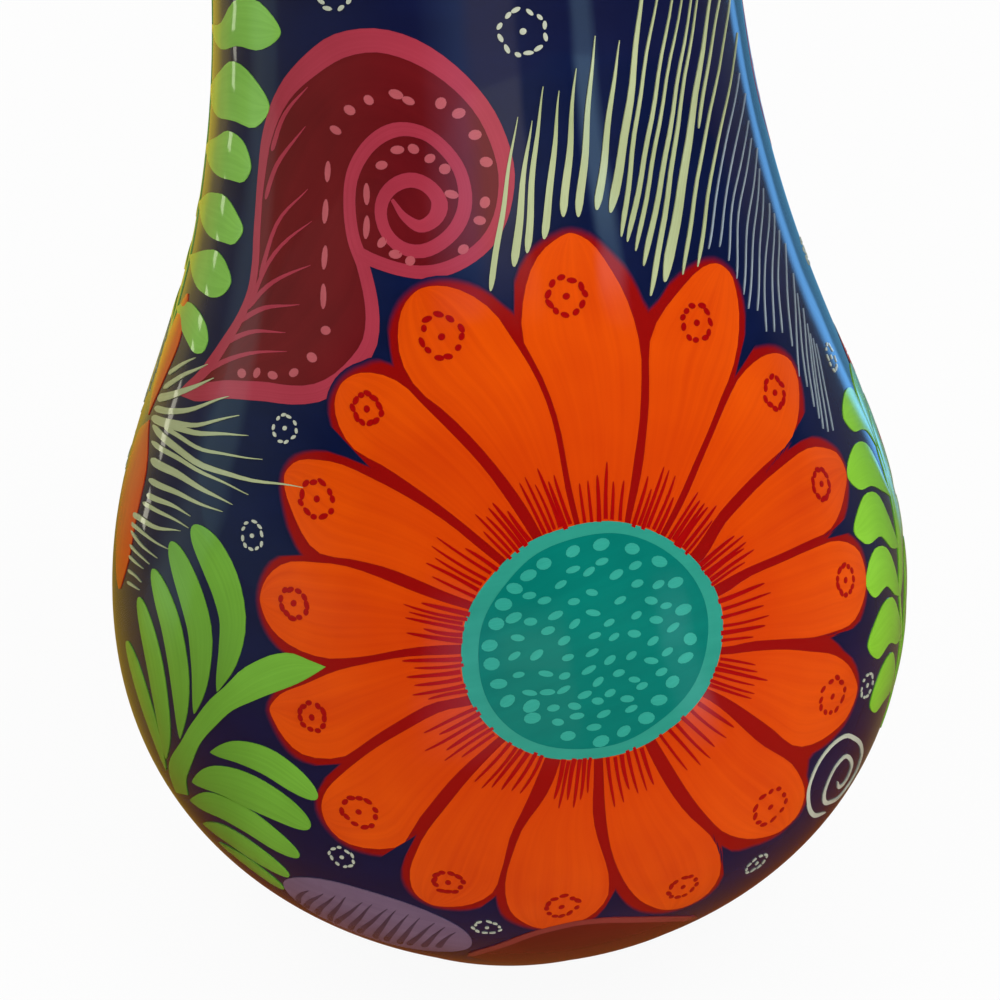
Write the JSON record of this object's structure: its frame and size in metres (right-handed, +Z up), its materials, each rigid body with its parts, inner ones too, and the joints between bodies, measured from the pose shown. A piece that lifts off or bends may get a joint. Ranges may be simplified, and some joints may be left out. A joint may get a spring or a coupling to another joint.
{
  "type": "terracotta jug",
  "caption": "Pear-shaped hand-built clay jug with a leaning neck, pinched pouring lip and strap handle, painted and lacquered outside, for holding and pouring liquid.",
  "frame": {"origin": "middle of the flat underside that the jug stands on", "axes": "+Z up along the jug's axis, -Y towards the pouring lip and the painted flower, +Y towards the handle"},
  "size_m": [0.16, 0.183, 0.3101],
  "materials": {
    "painted_clay": "deep navy paint under clear gloss lacquer, over fired earthenware",
    "bare_clay": "bare fired terracotta"
  },
  "bodies": {
    "root": {"base_dish": "painted_clay", "lower_bowl": "painted_clay", "upper_bowl": "painted_clay", "neck_tube": "painted_clay", "mouth_collar": "painted_clay", "rim_roll": "painted_clay", "strap_handle": "painted_clay", "base_seam_coil": "bare_clay", "belly_seam_coil": "bare_clay", "neck_seam_coil": "bare_clay", "mouth_seam_coil": "bare_clay"}
  },
  "joints": []
}
